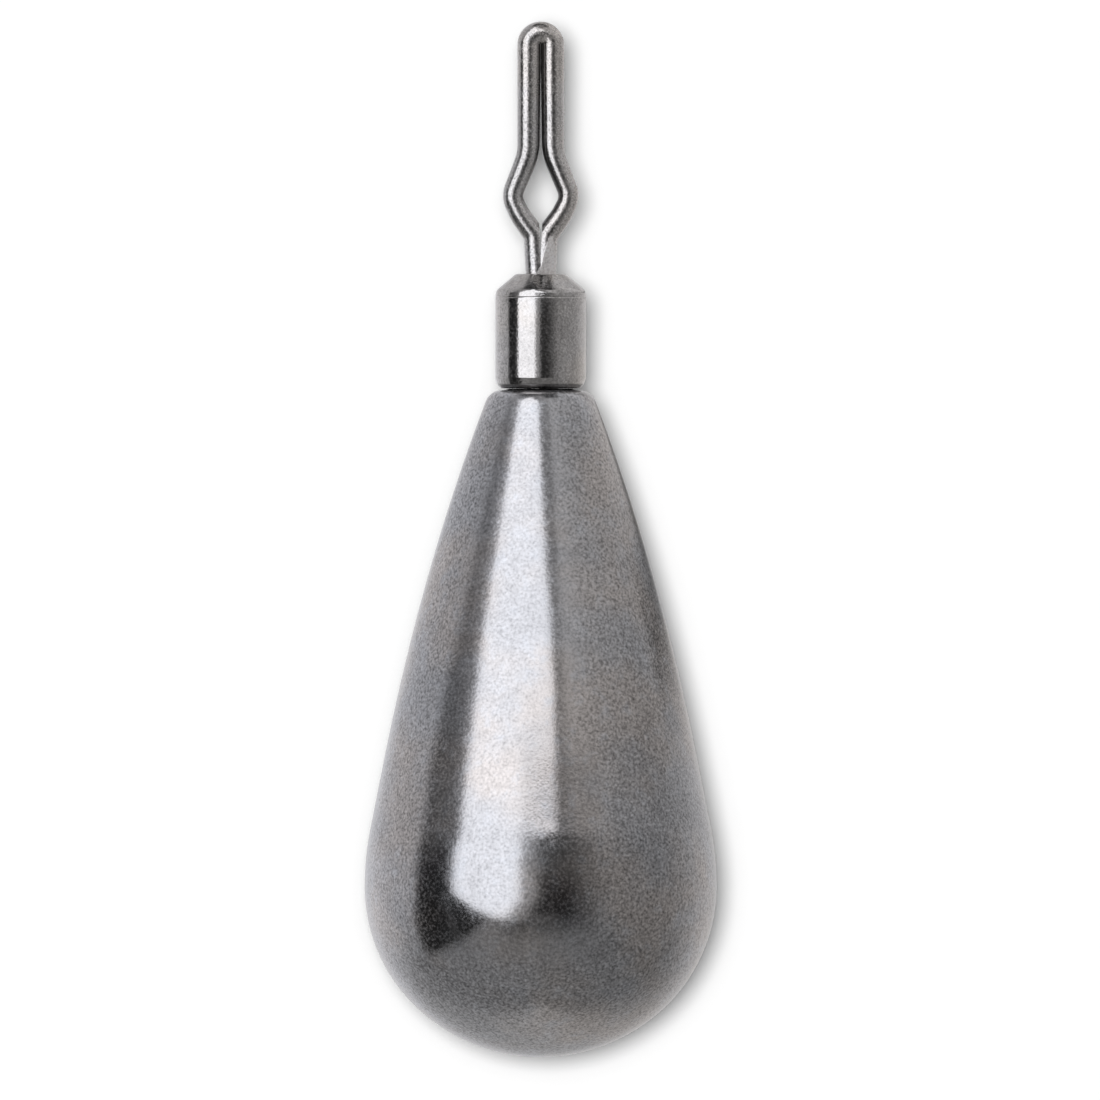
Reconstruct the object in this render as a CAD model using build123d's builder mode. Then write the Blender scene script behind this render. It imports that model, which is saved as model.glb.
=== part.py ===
from build123d import *
import os
from math import sqrt

# Drop-shot fishing sinker, in millimetres.
# A teardrop weight hangs from a swivel barrel, and the barrel hangs from a bent-wire line clip.
# Z points up along the hanging axis, and the clip lies in the XZ plane.
# The origin is the middle of the clip's eye, where the line goes through.

# Line clip: one wire, bent double, with a slot that pinches the line above a diamond eye
wire_diameter = 0.60
slot_gap = 0.07
loop_height = 4.22
throat_height = 1.17
eye_corner_span = 1.67
crotch_depth = 1.01
crotch_leg_spacing = 0.36
throat_bend_radius = 0.75
eye_bend_radius = 0.45
crotch_bend_radius = 0.60

# Stem of the clip: the two legs pressed into one round shaft, which enters the barrel
stem_length = 1.10
stem_diameter = 0.80
stem_sink = 0.10
stem_edge_break = 0.05
leg_overlap = 0.20
leg_inset = 0.02

# Upset heads of the clip and the pin, held captive in the barrel one above the other
head_ledge = 0.29
head_height = 0.55
head_gap = 0.82
head_dome_radius = 0.25
head_edge_break = 0.06

# Swivel barrel: a turned can with a chamfered shoulder and a rolled-in lower lip
barrel_wall = 0.36
web_thickness = 0.80
lip_thickness = 0.36
top_land = 0.23
shoulder_height = 0.47
shoulder_edge_radius = 0.20
rolled_edge_radius = 0.26
rim_edge_break = 0.05

# Anchor pin: its shank has turned rings that key into the adhesive
pin_diameter = 1.00
shank_depth = 4.20
ring_count = 4
ring_width = 0.30
ring_depth = 0.10
pin_tip_chamfer = 0.15

# Teardrop weight with a blind bore in its flat top, its hip angle in degrees
weight_height = 18.40
weight_diameter = 9.72
nose_depth = 4.70
hip_radius = 8.25
hip_angle = 9.25
collar_diameter = 2.80
collar_edge_radius = 0.28

# Clearances and the adhesive's thickness
running_clearance = 0.05
thrust_clearance = 0.04
neck_gap = 0.05
bond_thickness = 0.12
bond_floor = 0.30
bond_recess = 0.12

# Radii, worked outwards from the wire and the pin
wire_radius = wire_diameter / 2
stem_radius = stem_diameter / 2
stem_hole_radius = stem_radius + running_clearance
pin_radius = pin_diameter / 2
lip_hole_radius = pin_radius + running_clearance
head_radius = lip_hole_radius + head_ledge
cavity_radius = head_radius + running_clearance
barrel_radius = cavity_radius + barrel_wall
bore_radius = pin_radius + bond_thickness
collar_radius = collar_diameter / 2
weight_radius = weight_diameter / 2

# Levels along Z, worked down from the eye
barrel_top = -crotch_depth - stem_length
stem_round_top = barrel_top - stem_sink
web_bottom = barrel_top - web_thickness
clip_head_top = web_bottom - thrust_clearance
clip_head_bottom = clip_head_top - head_height
pin_head_top = clip_head_bottom - head_gap
pin_head_bottom = pin_head_top - head_height
lip_top = pin_head_bottom - thrust_clearance
barrel_bottom = lip_top - lip_thickness
weight_top = barrel_bottom - neck_gap
weight_tip = weight_top - weight_height
equator = weight_tip + nose_depth
shank_bottom = weight_top - shank_depth
bore_bottom = shank_bottom - bond_floor

# Places across the clip, and along the shank
limb_x = (wire_diameter + slot_gap) / 2
leg_end_x = stem_radius - wire_radius - leg_inset
ring_pitch = shank_depth / (ring_count + 1)
ring_levels = [shank_bottom + ring_pitch * (i + 1) for i in range(ring_count)]

# Joint of the nose's two arcs, placed so that the tangents of both arcs are equally long
nose_span = weight_radius + nose_depth
nose_tangent = (sqrt(nose_span**2 + 2 * (weight_radius**2 + nose_depth**2)) - nose_span) / 2
nose_joint = ((weight_radius + nose_tangent) / 2, equator - (nose_depth + nose_tangent) / 2)

os.makedirs("parts", exist_ok=True)


# Line clip: half of the wire is swept up one side and mirrored, then the round stem is added
with BuildPart() as line_clip:
    with BuildLine(Plane.XZ) as half_wire:
        side = FilletPolyline(
            (leg_end_x, stem_round_top - leg_overlap),
            (crotch_leg_spacing / 2, -crotch_depth),
            (eye_corner_span / 2, 0),
            (limb_x, throat_height),
            (limb_x, loop_height),
            radius=[crotch_bend_radius, eye_bend_radius, throat_bend_radius],
        )
        CenterArc((0, loop_height), limb_x, 0, 90)
    with BuildSketch(Plane(origin=side @ 0, z_dir=side % 0)):
        Circle(wire_radius)
    sweep(path=half_wire.line)
    mirror(about=Plane.YZ)
    with BuildSketch(Plane.XZ) as stem_section:
        with BuildLine():
            Polyline(
                (0, stem_round_top),
                (stem_radius, stem_round_top),
                (stem_radius, clip_head_top),
                (head_radius, clip_head_top),
                (head_radius, clip_head_bottom),
                (0, clip_head_bottom),
                close=True,
            )
        make_face()
        fillet(stem_section.vertices().group_by(Axis.X)[-1].sort_by(Axis.Y)[0], head_dome_radius)
        chamfer(stem_section.vertices().group_by(Axis.X)[-1].sort_by(Axis.Y)[-1], head_edge_break)
        chamfer(stem_section.vertices().group_by(Axis.Y)[-1].sort_by(Axis.X)[-1], stem_edge_break)
    revolve(axis=Axis.Z)

line_clip.part.label = "line_clip"
export_step(line_clip.part, "parts/line_clip.step")


# Swivel barrel: one section turned about the axis, with its shoulder and its lower lip rounded
with BuildPart() as swivel_barrel:
    with BuildSketch(Plane.XZ) as can_section:
        with BuildLine():
            Polyline(
                (stem_hole_radius, barrel_top),
                (stem_hole_radius + top_land, barrel_top),
                (barrel_radius, barrel_top - shoulder_height),
                (barrel_radius, barrel_bottom),
                (lip_hole_radius, barrel_bottom),
                (lip_hole_radius, lip_top),
                (cavity_radius, lip_top),
                (cavity_radius, web_bottom),
                (stem_hole_radius, web_bottom),
                close=True,
            )
        make_face()
        fillet(can_section.vertices().group_by(Axis.X)[-1].sort_by(Axis.Y)[0], rolled_edge_radius)
        fillet(can_section.vertices().group_by(Axis.X)[-1].sort_by(Axis.Y)[-1], shoulder_edge_radius)
        chamfer(can_section.vertices().group_by(Axis.Y)[-1], rim_edge_break)
        chamfer(can_section.vertices().group_by(Axis.Y)[0].sort_by(Axis.X)[0], rim_edge_break)
    revolve(axis=Axis.Z)

swivel_barrel.part.label = "swivel_barrel"
export_step(swivel_barrel.part, "parts/swivel_barrel.step")


# Anchor pin: domed head, plain neck through the lip, and rings along the shank for the adhesive
with BuildPart() as anchor_pin:
    with BuildSketch(Plane.XZ) as pin_section:
        with BuildLine():
            Polyline(
                (0, pin_head_top),
                (head_radius, pin_head_top),
                (head_radius, pin_head_bottom),
                (pin_radius, pin_head_bottom),
                (pin_radius, shank_bottom),
                (0, shank_bottom),
                close=True,
            )
        make_face()
        fillet(pin_section.vertices().group_by(Axis.X)[-1].sort_by(Axis.Y)[-1], head_dome_radius)
        chamfer(pin_section.vertices().group_by(Axis.X)[-1].sort_by(Axis.Y)[0], head_edge_break)
        chamfer(pin_section.vertices().group_by(Axis.Y)[0].sort_by(Axis.X)[-1], pin_tip_chamfer)
    revolve(axis=Axis.Z)
    with BuildSketch(Plane.XZ):
        with Locations(*[(pin_radius, level) for level in ring_levels]):
            Rectangle(2 * ring_depth, ring_width)
    revolve(axis=Axis.Z, mode=Mode.SUBTRACT)

anchor_pin.part.label = "anchor_pin"
export_step(anchor_pin.part, "parts/anchor_pin.step")


# Teardrop weight: a flat collar, a long flank that runs into the hip's arc, and a nose of two arcs
with BuildPart() as weight_body:
    with BuildSketch(Plane.XZ):
        with BuildLine():
            hip = CenterArc((weight_radius - hip_radius, equator), hip_radius, 0, hip_angle)
            flank = TangentArc(hip @ 1, (collar_radius, weight_top), tangent=hip % 1)
            nose_side = TangentArc(hip @ 0, nose_joint, tangent=(0, -1))
            nose_tip = TangentArc(nose_side @ 1, (0, weight_tip), tangent=nose_side % 1)
            Polyline(flank @ 1, (0, weight_top), nose_tip @ 1)
        make_face()
    revolve(axis=Axis.Z)
    collar_rim = weight_body.edges().filter_by(GeomType.CIRCLE).group_by(Axis.Z)[-1]
    fillet(collar_rim, collar_edge_radius)
    with Locations((0, 0, weight_top)):
        Hole(bore_radius, weight_top - bore_bottom)

weight_body.part.label = "weight_body"
export_step(weight_body.part, "parts/weight_body.step")


# Adhesive: it fills the bore under and round the pin, up to just below the mouth
with BuildPart() as epoxy_bond:
    with BuildSketch(Plane.XY.offset(bore_bottom)):
        Circle(bore_radius)
    extrude(amount=weight_top - bond_recess - bore_bottom)
    add(anchor_pin.part, mode=Mode.SUBTRACT)

epoxy_bond.part.label = "epoxy_bond"
export_step(epoxy_bond.part, "parts/epoxy_bond.step")
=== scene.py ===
from math import atan2, cos, degrees, hypot, pi, radians, sin, sqrt, tan

import bpy
from mathutils import Matrix, Vector


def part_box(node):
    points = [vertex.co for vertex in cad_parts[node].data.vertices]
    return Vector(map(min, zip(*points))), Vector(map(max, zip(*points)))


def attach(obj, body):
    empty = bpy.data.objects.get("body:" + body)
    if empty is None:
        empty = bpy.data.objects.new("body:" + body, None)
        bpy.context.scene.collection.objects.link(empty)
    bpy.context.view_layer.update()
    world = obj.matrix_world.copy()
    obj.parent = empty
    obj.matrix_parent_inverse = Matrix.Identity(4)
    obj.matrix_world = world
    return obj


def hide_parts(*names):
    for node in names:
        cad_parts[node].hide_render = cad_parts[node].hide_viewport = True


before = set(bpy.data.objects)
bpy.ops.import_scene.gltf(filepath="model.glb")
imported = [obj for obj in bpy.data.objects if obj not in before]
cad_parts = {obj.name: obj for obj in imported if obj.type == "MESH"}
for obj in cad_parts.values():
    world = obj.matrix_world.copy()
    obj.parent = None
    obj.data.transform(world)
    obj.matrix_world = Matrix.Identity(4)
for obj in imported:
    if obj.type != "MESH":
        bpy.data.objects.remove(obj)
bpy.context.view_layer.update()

MM = 0.001

# Sizes in millimetres and angles in degrees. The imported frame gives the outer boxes.

# Bent wire of the clip: corners of its middle line, across and up, then its bends and its thickness by level
wire_radius = 0.30
leg_end = (0.08, -2.41)
crotch = (0.17, -1.04)
eye_side = (0.56, -0.50)
eye_corner = (0.815, 0.02)
throat = (0.334, 1.20)
slot_middle = (0.3265, 2.70)
slot_top = (0.322, 3.55)
crotch_bend_radius = 0.35
eye_side_bend_radius = 1.50
eye_bend_radius = 0.58
throat_bend_radius = 1.50
wire_swell = [
    (-2.4, 1.0), (-1.0, 1.0), (-0.5, 0.96), (0.0, 0.91),
    (0.7, 0.97), (1.2, 1.03), (2.7, 1.055), (3.55, 1.07),
]

# Slit between the legs, and the flat pressed on the right leg with the block that cuts it
slit_top = -0.60
slit_end = -1.67
slit_width = 0.060
flat_top = -1.12
flat_turn = 25
flat_slope = 7
flat_block_size = (0.40, 0.80, 1.30)
flat_block_left = 0.30
flat_block_above = 0.06

# Stem and upset head of the clip
stem_radius = 0.40
stem_top = -2.21
clip_head_height = 0.55
clip_head_radius = 0.84
head_dome_radius = 0.25
head_edge_radius = 0.06

# Swivel barrel
stem_hole_radius = 0.45
top_land = 0.23
shoulder_height = 0.45
shoulder_edge_radius = 0.20
shoulder_crease = 0.62
shoulder_lean = 0.028
land_edge_radius = 0.14
groove_width = 0.05
groove_depth = 0.010
rolled_height = 0.29
rolled_lean = 0.06
rolled_foot = 0.10
rolled_edge_radius = 0.10
lip_land = 0.16
rim_edge_radius = 0.05
inner_edge_radius = 0.02
crease_radius = 0.06
web_thickness = 0.80
lip_thickness = 0.36
lip_hole_radius = 0.55
cavity_radius = 0.89

# Teardrop weight
collar_radius = 1.40
collar_slope = 20.9
collar_edge_radius = 0.48
crown_height = 0.04
crown_radii = (0.90, 1.00)
hip_radius = 8.25
hip_angle = 11.2
flank_run = 1.80
nose_depth = 4.70
bore_radius = 0.62
bore_depth = 4.50

# Modelling: how near a point is to a plane or an end that it lies on, and where smooth shading breaks
plane_reach = 0.001
end_reach = 0.05
merge_reach = 0.0005
smooth_angle = 35

clip_low, clip_high = (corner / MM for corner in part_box("line_clip"))
barrel_low, barrel_high = (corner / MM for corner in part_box("swivel_barrel"))
weight_low, weight_high = (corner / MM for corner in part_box("weight_body"))
barrel_radius = barrel_high.x
weight_radius = min(weight_high.x, weight_high.y)


# Shader maths

class Value:
    """One socket of a shader, whose arithmetic adds Math nodes."""

    def __init__(self, shader, socket):
        self.shader = shader
        self.socket = socket

    def math(self, operation, *inputs):
        return self.shader.node("ShaderNodeMath", dict(enumerate(inputs)), operation=operation)

    def __add__(self, other):
        return self.math("ADD", self, other)

    def __radd__(self, other):
        return self.math("ADD", other, self)

    def __sub__(self, other):
        return self.math("SUBTRACT", self, other)

    def __rsub__(self, other):
        return self.math("SUBTRACT", other, self)

    def __mul__(self, other):
        return self.math("MULTIPLY", self, other)

    def __truediv__(self, other):
        return self.math("DIVIDE", self, other)

    def __neg__(self):
        return self.math("MULTIPLY", self, -1.0)

    def least(self, other):
        return self.math("MINIMUM", self, other)

    def most(self, other):
        return self.math("MAXIMUM", self, other)

    def absolute(self):
        return self.math("ABSOLUTE", self)

    def towards(self, goal, share):
        """A share of the way from this value to a goal."""
        return self + share * (goal - self)

    def rise(self, start, end):
        """0 below start, 1 above end, and a smooth step between them."""
        sockets = {"Value": self, "From Min": start, "From Max": end}
        return self.shader.node("ShaderNodeMapRange", sockets, interpolation_type="SMOOTHSTEP")

    def fall(self, start, end):
        """1 below start, 0 above end, and a smooth step between them."""
        return 1.0 - self.rise(start, end)


class Shader:
    """A node tree, and the one way to add a node to it."""

    def __init__(self, tree):
        self.tree = tree
        tree.nodes.clear()

    def node(self, kind, sockets=None, out=0, **settings):
        """Adds a node with its settings and then its sockets, and gives one of its outputs."""
        made = self.tree.nodes.new(kind)
        for name, setting in settings.items():
            setattr(made, name, setting)
        for key, given in (sockets or {}).items():
            if isinstance(given, Value):
                self.tree.links.new(given.socket, made.inputs[key])
            else:
                made.inputs[key].default_value = given
        return Value(self, made.outputs[out]) if len(made.outputs) else None

    def mix(self, share, first, second):
        """Colour mix."""
        return self.node("ShaderNodeMix", {0: share, 6: first, 7: second}, out=2, data_type="RGBA")

    def grey(self, level):
        """A colour with all three parts at one level."""
        return self.node("ShaderNodeCombineXYZ", {0: level, 1: level, 2: level})

    def place(self):
        """Object coordinates in metres, which move with the piece."""
        return self.node("ShaderNodeTexCoord", out=3)

    def split(self, vector, part):
        """One of the three parts of a vector."""
        return self.node("ShaderNodeSeparateXYZ", {0: vector}, out=part)

    def level(self):
        """Place along Z, in millimetres."""
        return self.split(self.place(), 2) / MM

    def azimuth(self, vector):
        """Degrees round Z, from the camera's side towards +X."""
        across, along = self.split(vector, 0), self.split(vector, 1)
        return across.math("ARCTAN2", across, -along) * (180 / pi)

    def noise(self, size, detail=2.0, roughness=0.5, seed=(0, 0, 0), shift=0):
        """Cloudy noise from about -0.5 to 0.5, with blots of the given size in millimetres."""
        scale = [1 / (size * MM)] * 3
        sockets = {"Vector": self.place(), "Scale": scale, "Location": [s + shift for s in seed]}
        where = self.node("ShaderNodeMapping", sockets)
        grain = {"Vector": where, "Scale": 1.0, "Detail": detail, "Roughness": roughness}
        return self.node("ShaderNodeTexNoise", grain) - 0.5

    def surface(self, **sockets):
        """The material's surface, with its sockets named by words joined with underscores."""
        named = {name.replace("_", " "): given for name, given in sockets.items()}
        made = self.node("ShaderNodeBsdfPrincipled", named)
        self.node("ShaderNodeOutputMaterial", {"Surface": made})


# Finishes: sizes in millimetres of the clouds, patches and waves that all the metals share

cloud_size = 2.6
patch_size = 0.5
wave_size = 0.8
wave_relief = 0.004
least_roughness = 0.04


def new_finish(name):
    """An empty material."""
    finish = bpy.data.materials.new(name)
    finish.use_nodes = True
    return finish, Shader(finish.node_tree)


def metal(name, tint, warm, cool, polish, grain_size, speckle, relief, seed,
          haze=0.0, dull_and_painted_light=None, painted_shade=None, worn=None):
    """Tumbled metal: warm and cool clouds, fine grain that is paler where it is duller, and painted light and
    painted shade where its masks ask for them.
    """
    finish, shader = new_finish(name)
    cloud = shader.noise(cloud_size, detail=2, seed=seed)
    patch = shader.noise(patch_size, detail=3, roughness=0.6, seed=seed, shift=31)
    grain = shader.noise(grain_size, detail=1, seed=seed, shift=67)
    wave = shader.noise(wave_size, detail=1, seed=seed, shift=11)
    # A duller, rougher, paler finish that is partly painted light: the colour is lightened where this mask is
    # high.
    dull_and_lit = dull_and_painted_light(shader) if dull_and_painted_light else 0.0
    # Painted shade: the colour is darkened where this mask is high.
    dark = painted_shade(shader) if painted_shade else 0.0
    coarse = 1.0 - worn(shader) * 0.5 if worn else 1.0

    clouded = shader.mix(cloud.rise(-0.10, 0.16) * 0.8, tint, warm)
    clouded = shader.mix(patch.rise(0.0, 0.22) * 0.5, clouded, cool)
    shade = 1.0 + grain * coarse * speckle + patch * 0.42 + cloud * 0.25 + dull_and_lit * 0.75
    shade = shade * (1.0 - dark * 0.7)
    colour = shader.node(
        "ShaderNodeVectorMath", {0: clouded, 1: shader.grey(shade)}, operation="MULTIPLY")
    rough = polish + grain * 0.15 + patch * 0.15 + dull_and_lit * 0.20
    oxide = (grain * 0.7 + 0.03).most(0.0) * coarse + haze + dull_and_lit * 0.45
    height = grain * relief + wave * wave_relief
    bump = shader.node("ShaderNodeBump", {"Strength": 1.0, "Distance": MM, "Height": height})
    shader.surface(
        Base_Color=colour, Metallic=1.0 - oxide, Roughness=rough.most(least_roughness), Normal=bump)
    return finish


def resin(name):
    """Cured adhesive: brown, a little cloudy, half gloss."""
    finish, shader = new_finish(name)
    cloud = shader.noise(0.4, detail=3)
    colour = shader.mix(cloud.rise(-0.2, 0.2), (0.12, 0.09, 0.06, 1), (0.22, 0.17, 0.11, 1))
    bump = shader.node("ShaderNodeBump", {"Strength": 0.5, "Distance": 0.01 * MM, "Height": cloud})
    shader.surface(Base_Color=colour, Roughness=0.45 + cloud * 0.2, Normal=bump)
    return finish


def wavering_azimuth(shader, size, waver):
    """Degrees round Z, with a waver that makes the edges of a worn place uneven."""
    return shader.azimuth(shader.place()) + shader.noise(size) * waver


def handled_front(shader):
    """1 on the front left of a turned piece, where handling has rubbed the grain smooth, and 0 elsewhere."""
    around = wavering_azimuth(shader, size=1.2, waver=24.0)
    front = around.rise(-50, -32) * around.fall(8, 24)
    return front * shader.level().rise(weight_low.z + 2.0, weight_low.z + 3.2)


# Outlines: each node of one is a point, the heading in and the heading out, in degrees from +X

def heading(start, end):
    return degrees(atan2(end[1] - start[1], end[0] - start[0]))


def step(point, angle, length):
    return (point[0] + length * cos(radians(angle)), point[1] + length * sin(radians(angle)))


def turn(first, second):
    """The turn from one heading to another, between -180 and 180."""
    return (second - first + 180) % 360 - 180


def rounded(corners, radii, closed=False):
    """Nodes of a line through the corners, each corner rounded by its radius, or sharp where that is 0."""
    count = len(corners)
    nodes = []
    for i, (corner, radius) in enumerate(zip(corners, radii)):
        before = corners[i - 1] if closed or i else None
        after = corners[(i + 1) % count] if closed or i < count - 1 else None
        way_in = heading(before, corner) if before else heading(corner, after)
        way_out = heading(corner, after) if after else way_in
        reach = radius * tan(radians(abs(turn(way_in, way_out))) / 2)
        if reach:
            nodes.append((step(corner, way_in, -reach), way_in, way_in))
            nodes.append((step(corner, way_out, reach), way_out, way_out))
        else:
            nodes.append((corner, way_in, way_out))
    return nodes


def draw(name, nodes, smoothness, closed=False, swell=None):
    """A curve in the XZ plane through the nodes, with each stretch between two of them an arc or straight."""
    bpy.ops.curve.primitive_bezier_curve_add()
    drawn = bpy.context.object
    drawn.name = name
    line = drawn.data.splines[0]
    line.bezier_points.add(len(nodes) - 2)
    line.use_cyclic_u = closed
    drawn.data.resolution_u = smoothness
    for i, (point, way_in, way_out) in enumerate(nodes):
        before, last_out = nodes[i - 1][0], nodes[i - 1][2]
        after, next_in = nodes[(i + 1) % len(nodes)][0], nodes[(i + 1) % len(nodes)][1]
        back = arc_handle(before, point, turn(last_out, way_in))
        ahead = arc_handle(point, after, turn(way_out, next_in))
        knot = line.bezier_points[i]
        knot.handle_left_type = knot.handle_right_type = "FREE"
        knot.co = upright(point)
        knot.handle_left = upright(step(point, way_in, -back))
        knot.handle_right = upright(step(point, way_out, ahead))
        knot.radius = swell[i] if swell else 1.0
    return drawn


def arc_handle(start, end, angle):
    """Length of the handles that make an arc of this turn between two points."""
    chord = hypot(end[0] - start[0], end[1] - start[1])
    return chord / (3 * cos(radians(angle) / 4) ** 2)


def upright(point):
    return Vector((point[0], 0, point[1])) * MM


# Modelling steps

def pick(piece):
    """Selects one piece alone, and makes it the active one."""
    bpy.ops.object.select_all(action="DESELECT")
    piece.select_set(True)
    bpy.context.view_layer.objects.active = piece


def to_mesh(piece):
    pick(piece)
    bpy.ops.object.convert(target="MESH")
    return bpy.context.object


def edit(piece):
    pick(piece)
    bpy.ops.object.mode_set(mode="EDIT")
    bpy.ops.mesh.select_mode(type="VERT")


def leave_tidy():
    """Merges doubled points, turns the faces outwards, leaves edit mode and shades the piece smooth."""
    bpy.ops.mesh.select_all(action="SELECT")
    bpy.ops.mesh.remove_doubles(threshold=merge_reach * MM)
    bpy.ops.mesh.normals_make_consistent(inside=False)
    bpy.ops.object.mode_set(mode="OBJECT")
    bpy.ops.object.shade_smooth_by_angle(angle=radians(smooth_angle))


def turned(name, nodes, smoothness, steps, closed=False):
    """A piece turned about Z from its half outline."""
    piece = to_mesh(draw(name, nodes, smoothness, closed))
    edit(piece)
    bpy.ops.mesh.select_all(action="SELECT")
    bpy.ops.mesh.spin(steps=steps, angle=2 * pi, center=(0, 0, 0), axis=(0, 0, 1))
    leave_tidy()
    return piece


def select_points(piece, inside):
    """Selects the points of the edited piece that pass a test on their place in millimetres."""
    bpy.ops.mesh.select_all(action="DESELECT")
    bpy.ops.object.mode_set(mode="OBJECT")
    for point in piece.data.vertices:
        point.select = inside(point.co / MM)
    bpy.ops.object.mode_set(mode="EDIT")


def apply(piece, kind, **settings):
    """Adds a modifier, sets it and applies it."""
    pick(piece)
    added = piece.modifiers.new(kind.title(), kind)
    for name, setting in settings.items():
        setattr(added, name, setting)
    bpy.ops.object.modifier_apply(modifier=added.name)


def combine(piece, other, operation):
    """Joins another solid to a piece or takes it off, and removes that solid."""
    apply(piece, "BOOLEAN", operation=operation, object=other, solver="EXACT")
    bpy.data.objects.remove(other)


def finished(piece, body, node, finish):
    """Gives a piece its finish, and puts it in its CAD node's place."""
    piece.data.materials.clear()
    piece.data.materials.append(finish)
    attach(piece, body)
    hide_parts(node)


# Teardrop weight

def weight_outline():
    top, tip = weight_high.z, weight_low.z
    equator = tip + nose_depth
    span = weight_radius + nose_depth
    tangent = (sqrt(span**2 + 2 * (weight_radius**2 + nose_depth**2)) - span) / 2
    joint = ((weight_radius + tangent) / 2, equator - (nose_depth + tangent) / 2)
    joint_way = heading((weight_radius, equator - tangent), (tangent, tip))
    hip_way = 90 + hip_angle
    hip_top = step((weight_radius - hip_radius, equator), hip_angle, hip_radius)
    crown = top + crown_height
    corners = [
        (0, top - bore_depth), (bore_radius, top - bore_depth), (bore_radius, crown), (crown_radii[0], crown),
        (crown_radii[1], top), (collar_radius, top), step((collar_radius, top), collar_slope - 90, 1),
    ]
    nodes = rounded(corners, [0, 0, 0, 0, 0, collar_edge_radius, 0])[:-1]
    nodes.append((step(hip_top, hip_way, flank_run), hip_way - 180, hip_way - 180))
    nodes.append((hip_top, hip_way - 180, hip_way - 180))
    nodes.append(((weight_radius, equator), -90, -90))
    nodes.append((joint, joint_way, joint_way))
    nodes.append(((0, tip), -180, -180))
    return nodes


def lighter_under_collar(shader):
    """How far the weight is lightened with painted light and made duller, which it is just under its collar.
    """
    return shader.level().rise(weight_high.z - 1.1, weight_high.z - 0.2) * 0.15


weight_metal = metal(
    "tumbled_tungsten",
    tint=(0.460, 0.463, 0.482, 1), warm=(0.497, 0.463, 0.445, 1), cool=(0.445, 0.461, 0.493, 1),
    polish=0.15, grain_size=0.075, speckle=1.9, relief=0.0014, seed=(3, 5, 7),
    dull_and_painted_light=lighter_under_collar, worn=handled_front)
weight = turned("weight_casting", weight_outline(), smoothness=18, steps=160)
finished(weight, "sinker", "weight_body", weight_metal)


# Swivel barrel

def barrel_outline():
    top, bottom = barrel_high.z, barrel_low.z
    web, lip = top - web_thickness, bottom + lip_thickness
    groove = top - shoulder_crease
    corners = [
        (stem_hole_radius, top), (stem_hole_radius + top_land, top),
        (barrel_radius - shoulder_lean, top - shoulder_height), (barrel_radius, groove),
        (barrel_radius - groove_depth, groove - groove_width / 2), (barrel_radius, groove - groove_width),
        (barrel_radius, bottom + rolled_height), (barrel_radius - rolled_lean, bottom + rolled_foot),
        (barrel_radius - lip_land, bottom), (lip_hole_radius, bottom), (lip_hole_radius, lip),
        (cavity_radius, lip), (cavity_radius, web), (stem_hole_radius, web),
    ]
    radii = [
        rim_edge_radius, land_edge_radius, shoulder_edge_radius, inner_edge_radius, inner_edge_radius,
        inner_edge_radius, crease_radius, rolled_edge_radius, rolled_edge_radius, rim_edge_radius,
        inner_edge_radius, inner_edge_radius, inner_edge_radius, inner_edge_radius,
    ]
    return rounded(corners, radii, closed=True)


def shade_under_lip(shader):
    """How far the barrel is darkened with painted shade, which it is where its lip rolls in."""
    return shader.level().fall(barrel_low.z + 0.09, barrel_low.z + 0.15) * 0.9


def lit_right_side(shader):
    """How far the barrel is scuffed dull and lightened with painted light, which it is at its right."""
    around = wavering_azimuth(shader, size=0.6, waver=30.0)
    return around.rise(14, 44) * around.fall(80, 130) * 0.33


barrel_metal = metal(
    "turned_nickel",
    tint=(0.53, 0.518, 0.514, 1), warm=(0.54, 0.51, 0.48, 1), cool=(0.505, 0.505, 0.515, 1),
    polish=0.10, grain_size=0.06, speckle=1.3, relief=0.002, seed=(13, 2, 9),
    dull_and_painted_light=lit_right_side, painted_shade=shade_under_lip, worn=handled_front)
barrel = turned("swivel_can", barrel_outline(), smoothness=8, steps=128, closed=True)
finished(barrel, "barrel", "swivel_barrel", barrel_metal)


# Line clip

def swell_at(level):
    """Thickness of the wire at a level, as a share of its drawn thickness."""
    for (low, first), (high, second) in zip(wire_swell, wire_swell[1:]):
        if low <= level <= high:
            return first + (second - first) * (level - low) / (high - low)
    return wire_swell[-1][1]


def clip_half():
    """One side of the bent wire, from the end of its leg up to the middle of the top bend."""
    bend_level = clip_high.z - slot_top[0] - wire_radius * wire_swell[-1][1]
    corners = [
        leg_end, crotch, eye_side, eye_corner, throat, slot_middle, slot_top, (slot_top[0], bend_level),
    ]
    radii = [
        0, crotch_bend_radius, eye_side_bend_radius, eye_bend_radius, throat_bend_radius, 0, 0, 0,
    ]
    nodes = rounded(corners, radii)
    nodes.append(((0, bend_level + slot_top[0]), 180, 180))
    swell = [swell_at(point[1]) for point, way_in, way_out in nodes]
    half = draw("clip_wire", nodes, smoothness=14, swell=swell)
    half.data.dimensions = "3D"
    half.data.bevel_depth = wire_radius * MM
    half.data.bevel_resolution = 14
    return to_mesh(half)


def clip_stem():
    """The round shaft in the barrel, and the upset head that holds it there."""
    low = clip_low.z
    corners = [
        (0, stem_top), (stem_radius, stem_top), (stem_radius, low + clip_head_height),
        (clip_head_radius, low + clip_head_height), (clip_head_radius, low), (0, low),
    ]
    radii = [0, head_edge_radius, 0, head_edge_radius, head_dome_radius, 0]
    return turned("clip_stem", rounded(corners, radii), smoothness=6, steps=64)


def slit_half(level):
    """Half of the slit's width at a level."""
    return slit_width / 2 * (level - slit_end) / (crotch[1] - slit_end)


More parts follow.
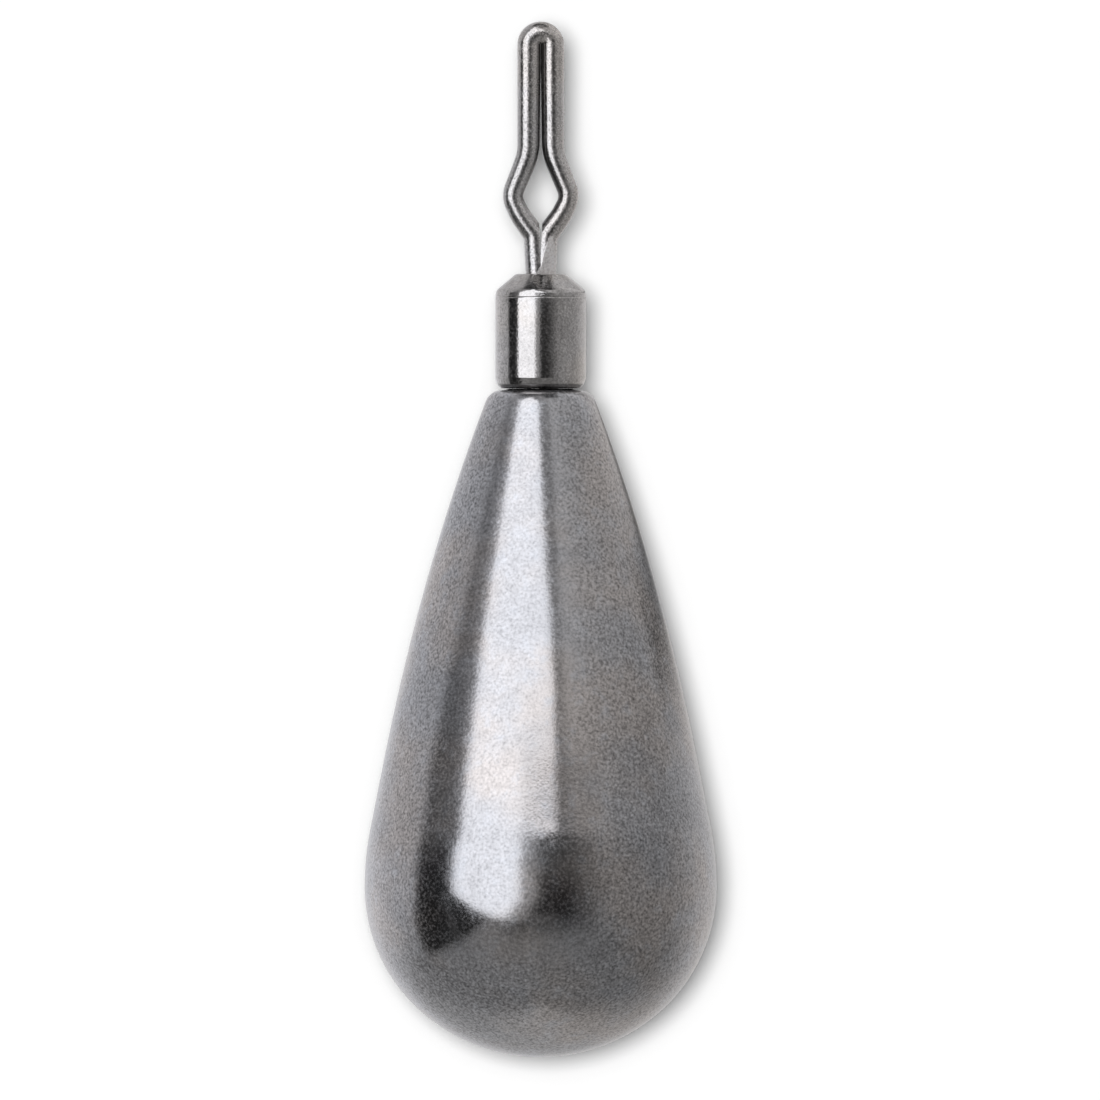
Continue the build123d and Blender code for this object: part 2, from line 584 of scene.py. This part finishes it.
def slit_wedge():
    """The wedge that parts the legs, from the slit's end up into the eye."""
    middle, half_height = (slit_top + slit_end) / 2, (slit_top - slit_end) / 2
    bpy.ops.mesh.primitive_cube_add(
        size=2 * MM, location=(0, 0, middle * MM), scale=(slit_half(slit_top), 1, half_height))
    wedge = bpy.context.object
    bpy.ops.object.transform_apply()
    edit(wedge)
    for side in (-1, 1):
        select_points(wedge, lambda p: p.z < middle and p.y * side > 0)
        bpy.ops.mesh.merge(type="COLLAPSE")
    leave_tidy()
    return wedge


def flat_plane():
    """A point and the outward normal of the flat that is pressed on the right leg."""
    turned_by, leaned_by = radians(flat_turn), radians(flat_slope)
    normal = Vector((sin(turned_by) * cos(leaned_by), -cos(turned_by) * cos(leaned_by), -sin(leaned_by)))
    share = (flat_top - leg_end[1]) / (crotch[1] - leg_end[1])
    leg = Vector((leg_end[0] + (crotch[0] - leg_end[0]) * share, 0, flat_top))
    return leg + normal * wire_radius, normal


def flat_block():
    """The block that takes the flat off the right leg, one of its faces on the flat."""
    place, normal = flat_plane()
    side = Vector((0, 0, 1)).cross(normal).normalized()
    up = normal.cross(side)
    deep, wide, tall = flat_block_size
    sideways, upwards = wide / 2 - flat_block_left, flat_block_above - tall / 2
    middle = place + normal * deep / 2 + side * sideways + up * upwards
    bpy.ops.mesh.primitive_cube_add(size=1)
    block = bpy.context.object
    facing = Matrix((normal, side, up)).transposed()
    block.matrix_world = Matrix.LocRotScale(middle * MM, facing, Vector(flat_block_size) * MM)
    bpy.ops.object.transform_apply()
    return block


def line_clip():
    """The whole clip: its wire closed and mirrored, the slit and the flat cut, and the stem joined on."""
    clip = clip_half()
    edit(clip)
    select_points(clip, lambda p: p.z < leg_end[1] + end_reach)
    bpy.ops.mesh.edge_face_add()
    leave_tidy()
    apply(clip, "MIRROR", use_axis=(True, False, False), use_bisect_axis=(True, False, False),
          bisect_threshold=plane_reach / 10 * MM, merge_threshold=plane_reach * MM)
    combine(clip, slit_wedge(), "DIFFERENCE")
    combine(clip, flat_block(), "DIFFERENCE")
    edit(clip)
    for on_cut in (on_flat, on_slit):
        select_points(clip, on_cut)
        bpy.ops.mesh.mark_sharp()
    leave_tidy()
    combine(clip, clip_stem(), "UNION")
    edit(clip)
    leave_tidy()
    mark_sides(clip)
    return clip


def on_flat(point):
    place, normal = flat_plane()
    return point.z < place.z and abs((point - place).dot(normal)) < plane_reach


def on_slit(point):
    return slit_end < point.z < slit_top and abs(abs(point.x) - slit_half(point.z)) < plane_reach


def mark_sides(piece):
    """Notes on each point how far it faces right, for the painted light on its right sides, and how far it
    faces the slot and the eye, for the painted shade there.
    """
    right = piece.data.attributes.new("lit_right_side", "FLOAT", "POINT")
    inner = piece.data.attributes.new("shaded_inner_side", "FLOAT", "POINT")
    for point in piece.data.vertices:
        right.data[point.index].value = point.normal.x
        inner.data[point.index].value = -1.5 * point.normal.x if point.co.x > 0 else point.normal.x


def dull_flat_and_lit_sides(shader):
    """How far the wire is rubbed dull: wholly on the pressed flat, and less on its right sides, where the
    lightening is painted light.
    """
    place, normal = flat_plane()
    sockets = {0: shader.place(), 1: normal}
    reach = shader.node("ShaderNodeVectorMath", sockets, out=1, operation="DOT_PRODUCT") / MM
    depth = place.dot(normal)
    flat = reach.rise(depth - 0.02, depth - 0.005) * shader.level().fall(flat_top, flat_top + 0.1)
    facing = shader.node("ShaderNodeAttribute", out=2, attribute_name="lit_right_side")
    return flat.most(facing.rise(0.1, 0.6) * 0.45)


def painted_inner_shade(shader):
    """1 on the sides of the wire that face the slot and the eye, which painted shade darkens, and 0 on the
    rest of it.
    """
    facing = shader.node("ShaderNodeAttribute", out=2, attribute_name="shaded_inner_side")
    return facing.rise(0.62, 0.88) * shader.level().rise(flat_top, flat_top + 0.3)


wire_metal = metal(
    "drawn_wire",
    tint=(0.54, 0.528, 0.523, 1), warm=(0.55, 0.52, 0.495, 1), cool=(0.51, 0.51, 0.52, 1),
    polish=0.20, grain_size=0.055, speckle=1.5, relief=0.004, haze=0.06, seed=(1, 17, 4),
    dull_and_painted_light=dull_flat_and_lit_sides, painted_shade=painted_inner_shade)
clip = line_clip()
finished(clip, "clip", "line_clip", wire_metal)


# Pieces that stay as packed

pin_metal = metal(
    "pin_steel",
    tint=(0.45, 0.45, 0.45, 1), warm=(0.46, 0.43, 0.40, 1), cool=(0.42, 0.43, 0.45, 1),
    polish=0.22, grain_size=0.06, speckle=0.8, relief=0.003, seed=(8, 8, 1))
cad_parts["anchor_pin"].material_slots[0].material = pin_metal
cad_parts["epoxy_bond"].material_slots[0].material = resin("bond_resin")


# White paper behind the sinker, with lamps of its own that throw the soft shadow.
# Each lamp has a name, a strength and a spread in degrees.

paper_size = 600
paper_shade = 0.03
paper_fibre = 0.0006
shadow_shift = (0.205, -0.15)
shadow_level = 0.09
paper_lamps = [("paper_lamp", 70, 9.5), ("wide_paper_lamp", 27, 22)]


def white_paper():
    """Dim paper that strong lamps make white, with a faint glow in the shadow, seen from its front alone."""
    finish, shader = new_finish("white_paper")
    colour = shader.grey(paper_shade + shader.noise(0.8, detail=3) * paper_fibre)
    front = shader.node("ShaderNodeBsdfPrincipled", {
        "Base Color": colour, "Roughness": 1.0, "Specular IOR Level": 0.0,
        "Emission Color": (1, 1, 1, 1), "Emission Strength": shadow_level})
    back = shader.node("ShaderNodeBsdfTransparent")
    behind = shader.node("ShaderNodeNewGeometry", out=6)
    surface = shader.node("ShaderNodeMixShader", {0: behind, 1: front, 2: back})
    shader.node("ShaderNodeOutputMaterial", {"Surface": surface})
    return finish


def lay_paper():
    """The sheet, upright just behind the weight."""
    middle = Vector((0, weight_radius, (weight_low.z + clip_high.z) / 2))
    bpy.ops.mesh.primitive_plane_add(
        size=paper_size * MM, location=middle * MM, rotation=(pi / 2, 0, 0))
    paper = bpy.context.object
    paper.name = "white_paper"
    bpy.ops.object.transform_apply()
    paper.data.materials.append(white_paper())
    paper.visible_glossy = False
    paper.visible_diffuse = False
    paper.visible_shadow = False
    return paper


def light_paper(paper):
    """The lamps, which light the paper alone and shift the shadow by a little."""
    across, up = shadow_shift
    only_paper = bpy.data.collections.new("only_paper")
    only_paper.objects.link(paper)
    for name, strength, spread in paper_lamps:
        bpy.ops.object.light_add(type="SUN")
        lamp = bpy.context.object
        lamp.name = name
        lamp.data.energy = strength
        lamp.data.angle = radians(spread)
        lamp.rotation_mode = "QUATERNION"
        lamp.rotation_quaternion = Vector((across, weight_radius, up)).to_track_quat("-Z", "Z")
        lamp.light_linking.receiver_collection = only_paper


light_paper(lay_paper())


# Studio light, by azimuth from the camera's side towards +X and by elevation, in degrees

ceiling_level = 0.05
line_level = 0.32
box_level = 1.74
box_edge = 6.0
left_tint = (0.985, 0.98, 1.01, 1)
right_tint = (1.01, 0.99, 0.985, 1)
floor_tint = (1.01, 0.995, 0.985, 1)
box_tint = (0.985, 0.99, 1.02, 1)


def studio():
    """Paints the light round the sinker in layers, each with its level and the share of it that shows."""
    world = bpy.data.worlds.new("studio")
    world.use_nodes = True
    bpy.context.scene.world = world
    shader = Shader(world.node_tree)
    way = shader.node("ShaderNodeTexCoord", out=0)
    across, up = shader.split(way, 0), shader.split(way, 2)
    around = shader.azimuth(way)
    aside = around.absolute()
    height = up.math("ARCSINE", up) * (180 / pi)

    # Walls: pale at the left and behind the sinker, dim at its right, where a dark streak crosses them
    far_left = around.fall(-150, -95) * (0.28 - height.rise(2, 9) * 0.15)
    left_wall = 0.54 + far_left - height.rise(8, 36) * 0.09
    right_low = 0.27 + around.rise(85, 150) * 0.36
    right_high = 0.61 - around.rise(18, 55) * 0.16 + around.rise(85, 140) * 0.22
    right_wall = right_low.towards(right_high, height.rise(12, 26))
    from_streak = (height + (around - 120.0) * 0.2 - 14.3).absolute()
    streak = from_streak.fall(0.6, 2.4) * around.rise(108, 120)
    far_right = height.rise(18, 30) * around.rise(125, 150)
    right_wall = right_wall * (1.0 - streak * 0.75) - far_right * 0.26
    level = left_wall.towards(right_wall, around.rise(-75, -60))
    level = level.towards(0.62 - across * 0.3, aside.rise(160, 180))

    # Brown floor below, dark ceiling above
    floor = height.fall(-38, -6)
    floor_level = 0.25 - across * 0.04 + aside.rise(100, 170) * 0.22
    level = level.towards(floor_level, floor)
    ceiling = height + around.fall(-50, -20) * 6.0 + aside.fall(50, 90) * 7.0
    level = level.towards(ceiling_level, ceiling.rise(64, 75))

    # Dark gap at the left of the big soft box, and its foot under the box
    foot_line = (around + 64.0).most(0.0) * 0.45 - 34.0
    above_foot = height.rise(foot_line - 3.0, foot_line + 3.0)
    from_middle = (-20.0 - around).most(0.0) / 35.0
    low_edge = from_middle * from_middle * 13.6 - 24.2
    above_low_edge = height.rise(low_edge, low_edge + box_edge)
    gap = around - height.least(0.0) * 0.30 - height.rise(15, 25) * 9.0
    gap = gap.rise(-96, -85) * around.fall(-70, -51)
    foot = around.rise(-70, -60) * around.fall(-40, -28) * (1.0 - above_low_edge)
    gap_level = 0.025 + height.rise(2, 34) * 0.27
    level = level.towards(gap_level, gap.most(foot) * above_foot)

    # Dark line at the right of the box, and the dark block at the camera
    line = around.rise(-30, -20) * around.fall(15, 25) * height.rise(14, 20)
    level = level.towards(line_level, line)
    leaning = around - (height + 8.0).least(0.0) * 0.7
    block = leaning.rise(-18, -10) * 0.76 + leaning.rise(-10, 4) * 0.24
    block = block * around.fall(14, 50) * height.rise(-42, -16) * height.fall(20.7, 21.8)
    block_level = 0.03 + height.rise(-3, 8) * 0.07
    level = level.towards(block_level, block)

    # The big soft box, a leaning panel that narrows towards its top
    left_edge = (-66.0 + height * 0.3).most(-62.8)
    right_edge = (40.0 - height * 1.05).least(11.0)
    box = around.rise(left_edge, left_edge + box_edge)
    box = box * around.fall(right_edge - box_edge / 2, right_edge + box_edge / 2)
    box = box * above_low_edge * (1.0 - block)
    level = level.towards(box_level, box)

    tint = shader.mix(around.rise(-60, 40), left_tint, right_tint)
    tint = shader.mix(floor, tint, floor_tint)
    tint = shader.mix(box, tint, box_tint)
    seen = shader.node("ShaderNodeLightPath", out=0)
    light = shader.node("ShaderNodeBackground", {"Color": tint, "Strength": level})
    backdrop = shader.node("ShaderNodeBackground", {"Color": (1, 1, 1, 1), "Strength": 1.0})
    surface = shader.node("ShaderNodeMixShader", {0: seen, 1: light, 2: backdrop})
    shader.node("ShaderNodeOutputWorld", {"Surface": surface})


studio()


# Camera in front, with a long lens, framed as the photograph is

view_width = 30.36
view_centre = (0.257, -9.73)
camera_distance = 1200
camera_reach = 10000


def camera():
    across, up = view_centre
    place = Vector((across, -camera_distance, up))
    bpy.ops.object.camera_add(location=place * MM, rotation=(pi / 2, 0, 0))
    eye = bpy.context.object
    eye.data.lens = eye.data.sensor_width * camera_distance / view_width
    eye.data.clip_end = camera_reach * MM
    bpy.context.scene.camera = eye


camera()
bpy.context.scene.view_settings.view_transform = "Standard"
